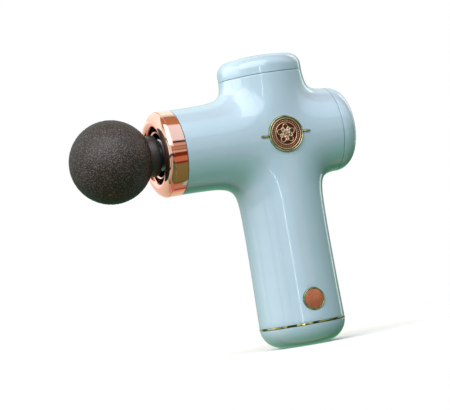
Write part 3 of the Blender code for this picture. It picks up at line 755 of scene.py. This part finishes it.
def foot_cap():
    """Rounded foot with a flat of its own under it."""
    low = FOOT_LOW.z - CROSSING.z
    seam = TRIM_LOW.z - CROSSING.z - SEAM
    points = [(0.0, low), (FOOT_FLAT * 0.5, low)]
    points += arc((FOOT_FLAT, low + FOOT_ROUNDING), FOOT_RADIUS - FOOT_FLAT, FOOT_ROUNDING, -90, 0, 32)
    points = [point for point in points if point[1] < seam - 0.3]
    points += rounded([points[-1], (FOOT_RADIUS, seam, 0.12), (SPIGOT_OUTER, seam)], 4)[1:]
    points += [(SPIGOT_OUTER, seam + SPIGOT_LENGTH), (SPIGOT_INNER, seam + SPIGOT_LENGTH)]
    points += [(SPIGOT_INNER, FOOT_HOLLOW_END), (FOOT_HOLLOW_RADIUS, low + WALL), (0.0, low + WALL)]
    return points


def nozzle_ring():
    """A flat band, a fine groove, a sloping face and a nose that rolls into the bore."""
    radius = (RING_HIGH.z - RING_LOW.z) / 2
    front = CROSSING.x - RING_LOW.x
    seam = BARREL_END + RING_SEAM
    band_end = front - RING_BAND
    nose = (RING_NOSE_RADIUS, front)
    points = rounded([(SPIGOT_OUTER, seam), (radius, seam, 0.15), (radius, band_end)], 4)[1:]
    groove = radius - 0.5
    points += [(radius - 0.08, band_end + 0.06), (groove, band_end + 0.06), (groove, band_end + 0.46)]
    points += bend((radius - 0.22, band_end + 0.5), (22.3, front - 0.8), nose, 24)
    points += bend(nose, (RING_BORE + 0.3, front), (RING_BORE, front - 2.6), 16)[1:]
    points += [(RING_BORE, seam + 0.5), (RING_HOLLOW, seam + 0.5), (RING_HOLLOW, 66.5), (SPIGOT_INNER, 65.5)]
    spigot_end = seam - SPIGOT_LENGTH
    points += [(SPIGOT_INNER, spigot_end), (SPIGOT_OUTER, spigot_end), (SPIGOT_OUTER, seam)]
    return mirrored(points)


def bore_liner():
    """Dark floor around the plunger with an outer and an inner wall standing on it."""
    outer = (SEAL_HIGH.z - SEAL_LOW.z) / 2
    inner = outer - LINER_WALL
    rear, front = CROSSING.x - SEAL_HIGH.x, CROSSING.x - SEAL_LOW.x
    floor = rear + LINER_FLOOR
    seat = LIP_SEAT + 0.8
    wall = [(outer, rear, 0.2), (outer, front, 0.2), (inner, front, 0.2), (inner, floor, 0.3)]
    points = rounded([(LINER_START, rear), *wall])
    points += rounded([(inner, floor), (seat, floor, 0.3), (seat, front - 0.5)])[1:]
    points += [(LIP_SEAT, front - 0.5), (LIP_SEAT, floor), (LINER_MOUTH, floor), (LINER_MOUTH, rear)]
    return mirrored(points)


def nozzle_lip():
    """Thin bright ring on the liner's inner wall, sloped in front to clear the ball at its nearest."""
    outer = (LIP_HIGH.z - LIP_LOW.z) / 2
    inner = outer - LIP_WIDTH
    rear, front = CROSSING.x - LIP_HIGH.x, CROSSING.x - LIP_LOW.x
    start = (inner + 0.4, rear)
    corners = [(outer, rear, 0.1), (outer, front, 0.3), (inner, front - 0.55, 0.2), (inner, rear, 0.1)]
    return mirrored(rounded([start, *corners, start])[:-1])


def covers():
    """The three caps, the trim above the foot, and the ring, the lip and the liner of the nozzle."""
    top = stub_cap(TOP_END + SEAM, TOP_HIGH.z - CROSSING.z, TOP_SHOULDER, TOP_CORNER)
    rear = stub_cap(REAR_END + SEAM, REAR_HIGH.x - CROSSING.x, REAR_SHOULDER, REAR_CORNER)
    lathe_piece("top_cap", top, "Z", "body_gloss", segments=FINEST)
    lathe_piece("rear_cap", rear, "X", "body_gloss", segments=FINEST)
    lathe_piece("bottom_cap", foot_cap(), "Z", "body_gloss", segments=FINEST)
    low, high = TRIM_LOW.z - CROSSING.z, TRIM_HIGH.z - CROSSING.z
    outer = TRIM_HIGH.x - CROSSING.x
    trim = rounded([(TRIM_INNER, low), (outer, low, 0.25), (outer, high, 0.25), (TRIM_INNER, high)], 4)
    lathe_piece("base_trim_ring", trim, "Z", "rose_gold", material=TRIM_METAL, segments=FINEST)
    lathe_piece("nozzle_ring", nozzle_ring(), "X", "rose_gold", segments=FINEST)
    lathe_piece("nozzle_lip", nozzle_lip(), "X", "rose_gold", segments=FINEST)
    lathe_piece("nozzle_seal", bore_liner(), "X", "black_rubber", material=LINER)


# Medallion


def line(distance, width):
    """A thin raised line at distance 0."""
    return math.exp(-((distance / width) ** 2))


def relief_height(radius, turn, edge):
    """Height in millimetres of a plain flower in line work inside two circles and a band of beads."""
    share = radius / edge
    height = 0.03 * noise.noise(Vector((radius * math.cos(turn), radius * math.sin(turn), 3.0)) * 2.2)
    if share < 0.66:
        for petals, reach, low, shift in ((5, 0.60, 0.20, 0.0), (5, 0.42, 0.14, 0.5), (8, 0.24, 0.12, 0.25)):
            wave = abs(math.cos(petals * turn / 2 + shift * math.pi))
            height += 0.20 * line(share - low - (reach - low) * wave, 0.036)
        height += 0.10 * max(0.0, 1 - share / 0.55)
        height += 0.16 * line(share, 0.07)
    beads = 0.5 + 0.5 * math.cos(44 * turn)
    height += 0.20 * line(share - 0.82, 0.045) * beads
    height += 0.22 * (line(share - 0.70, 0.028) + line(share - 0.955, 0.032))
    return height


def medallion_disc():
    """Disc with the rosette raised on its front, and the height kept on the vertices for the patina."""
    edge = COIN_HIGH.x - CROSSING.x
    face = COIN_LOW.y + COIN_FACE_DEPTH
    back = COIN_HIGH.y
    rings, around = 72, 216
    bm = bmesh.new()
    middle = bm.verts.new((0.0, face - relief_height(0.0, 0.0, edge), 0.0))
    grid = []
    for i in range(1, rings + 1):
        radius = edge * i / rings
        row = []
        for k in range(around):
            turn = math.tau * k / around
            depth = face - relief_height(radius, turn, edge)
            row.append(bm.verts.new((radius * math.sin(turn), depth, radius * math.cos(turn))))
        grid.append(row)
    grid.append([bm.verts.new((v.co.x, back, v.co.z)) for v in grid[-1]])
    for k in range(around):
        n = (k + 1) % around
        bm.faces.new((middle, grid[0][k], grid[0][n]))
        for low, high in zip(grid, grid[1:]):
            bm.faces.new((low[k], low[n], high[n], high[k]))
    bm.faces.new(grid[-1])
    thing = make_object("fine_medallion_disc", bm, 60.0)
    attribute = thing.data.attributes.new("relief", "FLOAT", "POINT")
    depths = [(face + CROSSING.y) - v.co.y / MM for v in thing.data.vertices]
    attribute.data.foreach_set("value", [min(1.0, max(0.0, depth / COIN_FULL_RELIEF)) for depth in depths])
    show(thing, RELIEF, "housing", "medallion_disc")


def emblem():
    """The medallion in its half-round rim, with a bar on each side."""
    medallion_disc()
    inner = COIN_HIGH.x - CROSSING.x + BEZEL_PLAY
    outer = RIM_HIGH.x - CROSSING.x
    back, front = RIM_HIGH.y, RIM_LOW.y
    bulge = arc(((inner + outer) / 2, front + 0.5), (outer - inner) / 2, 0.5, 0, -180, 20)
    section = [(inner, back), (outer, back)] + bulge
    lathe_piece("medallion_bezel", section, "Y", "copper_brown", segments=FINEST)
    half = (BAR_HIGH.x - BAR_LOW.x) / 2
    for name, sign in (("accent_bar_front", -1), ("accent_bar_rear", 1)):
        bm = prism(stadium(half, 0.6, 16, (sign * BAR_MIDDLE, 0.0)), BAR_LOW.y, BAR_HIGH.y)
        bar = make_object("fine_" + name, bm)
        soften(bar, 0.4, 5, 50.0)
        settle(bar)
        show(bar, MATERIALS["copper_brown"], "housing", name)


# Button and charging socket


def power_button():
    """A shallow dome in a thin rim, with a flange behind the shell and a stem down to the switch."""
    centre = (0.0, 0.0, BUTTON_HEIGHT)
    outer = BEZEL_HIGH.x - CROSSING.x
    inner = outer - 0.7
    back, front = BEZEL_HIGH.y, BEZEL_LOW.y
    corners = [(outer, back, 0.1), (outer, front, 0.35), (inner, front, 0.3)]
    rim = rounded([(inner, back), *corners, (inner, back)], 6)[:-1]
    lathe_piece("button_bezel", rim, "Y", "copper_brown", centre=centre)
    face = BUTTON_LOW.y
    radius = inner - 0.15
    dome = [(radius * 0.9 * k / 10, face + 0.25 * (k / 10) ** 2) for k in range(11)]
    side = rounded([dome[-1], (radius, face + 0.32, 0.4), (radius, BUTTON_FLANGE)], 6)[1:]
    flange = [(outer - 0.2, BUTTON_FLANGE), (outer - 0.2, BUTTON_BACK)]
    stem = [(2.5, BUTTON_BACK), (2.5, -17.0), (1.5, -17.0), (1.5, BUTTON_TIP), (0.0, BUTTON_TIP)]
    outline = dome + side + flange + stem
    lathe_piece("power_button", outline, "Y", "rose_gold", "button", BUTTON_METAL, FINE, centre)


def charging_socket():
    """A metal sleeve open to the back, with a dark tongue in it."""
    middle = (0.0, PORT_HEIGHT)
    low, high = PORT_LOW.y, PORT_HIGH.y
    port = make_object("fine_charge_port", prism(stadium(*PORT_SHELL, 16, middle), low, high))
    cavity = make_object("port_cavity", prism(stadium(*PORT_INSIDE, 16, middle), low + 1.6, high + 2.0))
    cut(port, [cavity])
    soften(port, 0.08, 2)
    settle(port)
    drop([cavity])
    tongue = make_object("port_tongue", prism(stadium(*PORT_TONGUE, 4, middle), low + 1.2, high - 1.4))
    show(port, MATERIALS["steel"], "housing", "charge_port")
    tongue.data.materials.append(RECESS)
    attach(tongue, "housing")


# Massage head


def foam_ball():
    """Ball with a pebbled surface of its own, and the mouth that the stem's collar sits in."""
    radius = (BALL_HIGH.z - BALL_LOW.z) / 2
    middle = CROSSING.x - BALL_LOW.x - radius
    lip = math.degrees(math.asin(BALL_MOUTH / radius))
    outline = [(0.0, middle + radius)]
    skin = arc((middle, 0.0), radius, radius, 0.8, 180 - lip - 1.5, 240)
    outline += [(out, height) for height, out in skin]
    depth = middle - math.sqrt(radius**2 - BALL_MOUTH**2)
    outline += [(BALL_MOUTH + 0.15, depth + 0.25), (BALL_MOUTH, depth + 0.6), (BALL_MOUTH, BALL_SEAT)]
    outline += [(BALL_SOCKET_RADIUS, BALL_SEAT), (BALL_SOCKET_RADIUS, BALL_SOCKET_END)]
    outline += [(0.0, BALL_SOCKET_END)]
    bm = turned(mirrored(outline), "X", BALL_POINTS)
    centre = Vector((-middle, 0.0, 0.0))
    relief = []
    for vertex in bm.verts:
        out = vertex.co - centre
        near, far = noise.voronoi(out * 1.25)[0][:2]
        crown = max(0.0, 1 - near / 0.62) ** 1.3
        dome = crown * 1.5 * (0.9 + 0.25 * noise.noise(out * 0.9))
        pebble = min(1.0, dome + 0.25 * min(1.0, (far - near) * 3))
        relief.append(pebble)
        if out.length > radius - 0.3:
            vertex.co = centre + out.normalized() * (radius - PEBBLE_HEIGHT + PEBBLE_HEIGHT * pebble)
    ball = make_object("fine_foam_ball", bm, 60.0)
    # The pebble height, which the foam's material turns into painted shade and painted highlights.
    ball.data.attributes.new("relief", "FLOAT", "POINT").data.foreach_set("value", relief)
    show(ball, MATERIALS["foam"], "massage_head", "foam_ball")


def head_stem():
    """A root inside the ball, a rounded collar, and the push-in stem with a groove for each O-ring."""
    collar = [(COLLAR_RADIUS, COLLAR_FRONT, 0.2), (COLLAR_RADIUS, COLLAR_REAR, 1.7)]
    neck = [(STEM_RADIUS + 0.6, COLLAR_REAR, 0.3), (STEM_RADIUS, COLLAR_REAR - 0.8)]
    root = (STEM_ROOT_RADIUS, COLLAR_FRONT)
    points = [(0.0, STEM_ROOT_END), (STEM_ROOT_RADIUS, STEM_ROOT_END), root]
    points += rounded([root, *collar, *neck], 8)[1:]
    for groove in GROOVES:
        front, rear = groove + GROOVE_HALF_WIDTH, groove - GROOVE_HALF_WIDTH
        points += [(STEM_RADIUS, front), (GROOVE_RADIUS, front), (GROOVE_RADIUS, rear), (STEM_RADIUS, rear)]
    points += rounded([points[-1], (STEM_RADIUS, STEM_END, 0.9), (0.0, STEM_END)], 6)[1:]
    lathe_piece("head_stem", mirrored(points), "X", "dark_plastic", "massage_head")


def finish_cad_nodes():
    """Every CAD node that still shows takes the material of its slot."""
    slots = {part["node"]: part["material_slot"] for part in frame["record"]["subparts"]}
    for name, node in frame["nodes"].items():
        if node.hide_render:
            continue
        node.data.materials.clear()
        node.data.materials.append(MATERIALS[slots[name]])


# Stage

FLOOR_RADIUS = 0.55
FLOOR_DROP = 0.0002
FLOOR_FADE = 2.2


def studio_floor():
    """Pale round floor that fades out around the object."""
    bm = bmesh.new()
    bmesh.ops.create_circle(bm, cap_ends=True, segments=96, radius=FLOOR_RADIUS)
    mesh = bpy.data.meshes.new("floor")
    bm.to_mesh(mesh)
    bm.free()
    floor = bpy.data.objects.new("floor", mesh)
    bpy.context.scene.collection.objects.link(floor)
    floor.location = (-0.02, 0.0, FOOT_LOW.z * MM - FLOOR_DROP)
    paint = Painter("floor_fade", Roughness=0.9)
    tree = paint.tree
    gradient = tree.nodes.new("ShaderNodeTexGradient")
    gradient.gradient_type = "SPHERICAL"
    mapping = tree.nodes.new("ShaderNodeMapping")
    mapping.inputs["Scale"].default_value = (FLOOR_FADE, FLOOR_FADE, FLOOR_FADE)
    paint.link(paint.place, mapping.inputs["Vector"])
    paint.link(mapping.outputs["Vector"], gradient.inputs["Vector"])
    paint.set("Alpha", paint.grey(gradient.outputs["Fac"], 0.0, 1.0, 0.0, 0.8))
    paint.set("Base Color", paint.mix(paint.noise(30.0), srgb(250, 250, 250), srgb(246, 247, 247)))
    mesh.materials.append(paint.done((0.95, 0.95, 0.95)))
    floor.visible_glossy = False
    floor.visible_diffuse = False
    floor.visible_shadow = False


# The room around the object, by the angle in degrees about the barrel's axis: 0 is in front of it, 90 is above
ROOM = [
    (-180, (0.44, 0.56, 0.52)),
    (-135, (0.01, 0.38, 0.12)),
    (-128, (0.01, 0.04, 0.02)),
    (-119, (0.02, 0.05, 0.03)),
    (-114, (0.46, 0.30, 0.20)),
    (-98, (0.46, 0.30, 0.20)),
    (-92, (0.01, 0.09, 0.03)),
    (-86, (0.03, 0.20, 0.06)),
    (-34, (0.09, 0.22, 0.09)),
    (-32, (0.01, 0.01, 0.01)),
    (-29, (0.01, 0.01, 0.01)),
    (-27, (0.44, 0.24, 0.12)),
    (-15, (0.44, 0.24, 0.12)),
    (-13, (0.05, 0.02, 0.01)),
    (-4, (0.08, 0.03, 0.02)),
    (-2, (0.90, 0.62, 0.45)),
    (2, (0.90, 0.62, 0.45)),
    (3.5, (0.02, 0.02, 0.02)),
    (5, (0.55, 0.34, 0.22)),
    (12, (0.60, 0.38, 0.26)),
    (13.5, (0.04, 0.03, 0.03)),
    (15, (0.80, 0.56, 0.42)),
    (22, (0.85, 0.50, 0.38)),
    (24, (0.02, 0.02, 0.02)),
    (27.5, (0.02, 0.02, 0.02)),
    (30, (1.10, 1.15, 1.25)),
    (76, (1.20, 1.28, 1.36)),
    (80, (0.66, 0.32, 0.15)),
    (112, (0.56, 0.28, 0.14)),
    (118, (1.00, 1.18, 1.14)),
    (150, (0.86, 1.06, 1.00)),
    (180, (0.44, 0.56, 0.52)),
]

# The wall with the window, at the object's left, from below to above
WINDOW_WALL = [
    (0.0, (0.75, 0.55, 0.45)),
    (0.40, (0.85, 0.70, 0.62)),
    (0.42, (0.04, 0.03, 0.03)),
    (0.46, (0.04, 0.03, 0.03)),
    (0.48, (1.30, 1.25, 1.20)),
    (1.0, (1.20, 1.30, 1.30)),
]
MULLION_X = -0.93
MULLION_HALF_WIDTH = 0.012
MULLION_COLOUR = (0.05, 0.04, 0.04)
DARK_CORNER = (0.03, 0.15, 0.06)
ROOM_STRENGTH = 0.85


def studio_world():
    """White to the camera. To light and reflections it is a soft room, pale above and left, dim below."""
    world = bpy.data.worlds.new("studio")
    bpy.context.scene.world = world
    world.use_nodes = True
    wiring = Wiring(world.node_tree)
    nodes = wiring.tree.nodes
    nodes.clear()
    split = nodes.new("ShaderNodeSeparateXYZ")
    wiring.link(nodes.new("ShaderNodeTexCoord").outputs["Generated"], split.inputs["Vector"])
    along, across, above = (split.outputs[axis] for axis in "XYZ")
    angle = wiring.math("ARCTAN2", above, wiring.math("MULTIPLY", across, -1.0))
    turn = wiring.grey(angle, 0.0, 1.0, -math.pi, math.pi)
    room = wiring.ramp(turn, [((degrees + 180) / 360, colour) for degrees, colour in ROOM])
    left = wiring.grey(along, 1.0, 0.0, -0.86, -0.70)
    pane = wiring.ramp(wiring.grey(above, 0.0, 1.0, -0.7, 0.7), WINDOW_WALL)
    room = wiring.mix(left, room, pane)
    mullion = wiring.math("COMPARE", along, MULLION_X)
    mullion.node.inputs[2].default_value = MULLION_HALF_WIDTH
    room = wiring.mix(mullion, room, MULLION_COLOUR)
    far_right = wiring.grey(along, 0.0, 1.0, 0.45, 0.7)
    low = wiring.grey(above, 1.0, 0.0, -0.05, 0.3)
    room = wiring.mix(wiring.math("MULTIPLY", far_right, low), room, DARK_CORNER)
    soft = nodes.new("ShaderNodeBackground")
    soft.inputs["Strength"].default_value = ROOM_STRENGTH
    wiring.link(room, soft.inputs["Color"])
    white = nodes.new("ShaderNodeBackground")
    white.inputs["Color"].default_value = (1.0, 1.0, 1.0, 1.0)
    choose = nodes.new("ShaderNodeMixShader")
    wiring.link(nodes.new("ShaderNodeLightPath").outputs["Is Camera Ray"], choose.inputs["Fac"])
    wiring.link(soft.outputs["Background"], choose.inputs[1])
    wiring.link(white.outputs["Background"], choose.inputs[2])
    wiring.link(choose.outputs["Shader"], nodes.new("ShaderNodeOutputWorld").inputs["Surface"])


# Camera, with angles in degrees and distances in metres
CAMERA_AZIMUTH = -22.03
CAMERA_ELEVATION = -3.0
CAMERA_ROLL = 9.815
CAMERA_DISTANCE = 1.296
CAMERA_LENS = 184.7
AIM_LEFT = 0.0254
AIM_LOW = 0.0374


def camera_axes():
    turn = math.radians(CAMERA_AZIMUTH)
    lift = math.radians(CAMERA_ELEVATION)
    back = Vector((math.sin(turn) * math.cos(lift), -math.cos(turn) * math.cos(lift), math.sin(lift)))
    right = Vector((math.cos(turn), math.sin(turn), 0.0))
    up = back.cross(right)
    return right, up, back


def place_camera():
    """Stand off along the viewing direction, rolled as the gun is held, and aim a little low and left."""
    right, up, back = camera_axes()
    cos, sin = math.cos(math.radians(CAMERA_ROLL)), math.sin(math.radians(CAMERA_ROLL))
    right, up = right * cos - up * sin, right * sin + up * cos
    centre = CROSSING * MM
    where = centre + back * CAMERA_DISTANCE
    target = centre - right * AIM_LEFT - up * AIM_LOW
    view = (where - target).normalized()
    side = up.cross(view).normalized()
    over = view.cross(side)
    camera = bpy.data.objects.new("camera", bpy.data.cameras.new("camera"))
    camera.data.lens = CAMERA_LENS
    camera.data.clip_start = 0.05
    camera.data.clip_end = 20.0
    matrix = Matrix((side, over, view)).transposed().to_4x4()
    matrix.translation = where
    camera.matrix_world = matrix
    bpy.context.scene.collection.objects.link(camera)
    bpy.context.scene.camera = camera


def softbox(name, place, size, brightness, colour=(1.0, 1.0, 1.0), receivers=None):
    """An area light facing the crossing, at a place right of it, above it and towards the camera, in metres."""
    right, up, back = camera_axes()
    sideways, upward, toward = place
    light = bpy.data.lights.new(name, "AREA")
    light.shape = "RECTANGLE"
    light.size, light.size_y = size
    light.energy = brightness * math.pi * size[0] * size[1]
    light.color = colour
    lamp = bpy.data.objects.new(name, light)
    centre = CROSSING * MM
    lamp.location = centre + right * sideways + up * upward + back * toward
    lamp.rotation_mode = "QUATERNION"
    lamp.rotation_quaternion = (lamp.location - centre).to_track_quat("Z", "Y")
    lamp.visible_camera = False
    bpy.context.scene.collection.objects.link(lamp)
    if receivers is not None:
        lamp.light_linking.receiver_collection = receivers
    return lamp


def studio_lights():
    """Overhead and strip light everything. Each other light shines only on the pieces in its collection.

    Plated is the ring and its lip. Lacquered is all the rest but the ball, its stem and the liner, and standing
    is that without the floor.
    """
    plated = bpy.data.collections.new("plated")
    lacquered = bpy.data.collections.new("lacquered")
    standing = bpy.data.collections.new("standing")
    general_light_only = ("fine_foam_ball", "fine_head_stem", "fine_nozzle_seal")
    for thing in bpy.context.scene.collection.objects:
        if thing.name in ("fine_nozzle_ring", "fine_nozzle_lip"):
            plated.objects.link(thing)
        elif thing.type == "MESH" and thing.name not in general_light_only:
            lacquered.objects.link(thing)
            if thing.name != "floor":
                standing.objects.link(thing)
    softbox("window", (-1.0, 0.47, 0.05), (1.5, 0.8), 1.7, (0.98, 0.94, 0.92), lacquered)
    softbox("overhead", (-0.25, 0.85, 0.8), (1.5, 1.2), 2.03)
    softbox("fill", (0.1, 0.25, 1.4), (1.2, 1.2), 0.6, (0.36, 0.76, 1.16), lacquered)
    softbox("strip", (0.10, 0.05, 1.35), (0.03, 0.7), 9.0)
    softbox("rim", (0.62, 0.2, -0.8), (0.14, 1.0), 1.5, receivers=lacquered)
    behind = softbox("behind", (0.25, 0.30, -1.2), (1.0, 1.0), 1.9, (1.0, 0.92, 1.0), standing)
    behind.visible_glossy = False
    softbox("bounce", (-0.35, -0.35, -0.6), (1.5, 1.2), 0.62, (1.0, 0.46, 0.46), plated)
    softbox("meadow", (0.05, -0.8, 0.25), (1.2, 1.2), 0.21, (0.05, 1.0, 0.40), standing)
    softbox("ember", (0.23, -0.5, 0.06), (1.8, 1.8), 0.15, (1.0, 0.05, 0.0), plated)
    softbox("card", (-0.4, 0.45, -0.55), (1.5, 0.8), 0.48, (1.0, 0.74, 0.66), plated)


body_shells()
covers()
emblem()
power_button()
charging_socket()
foam_ball()
head_stem()
finish_cad_nodes()
studio_floor()
studio_world()
studio_lights()
place_camera()
bpy.context.scene.view_settings.view_transform = "Standard"
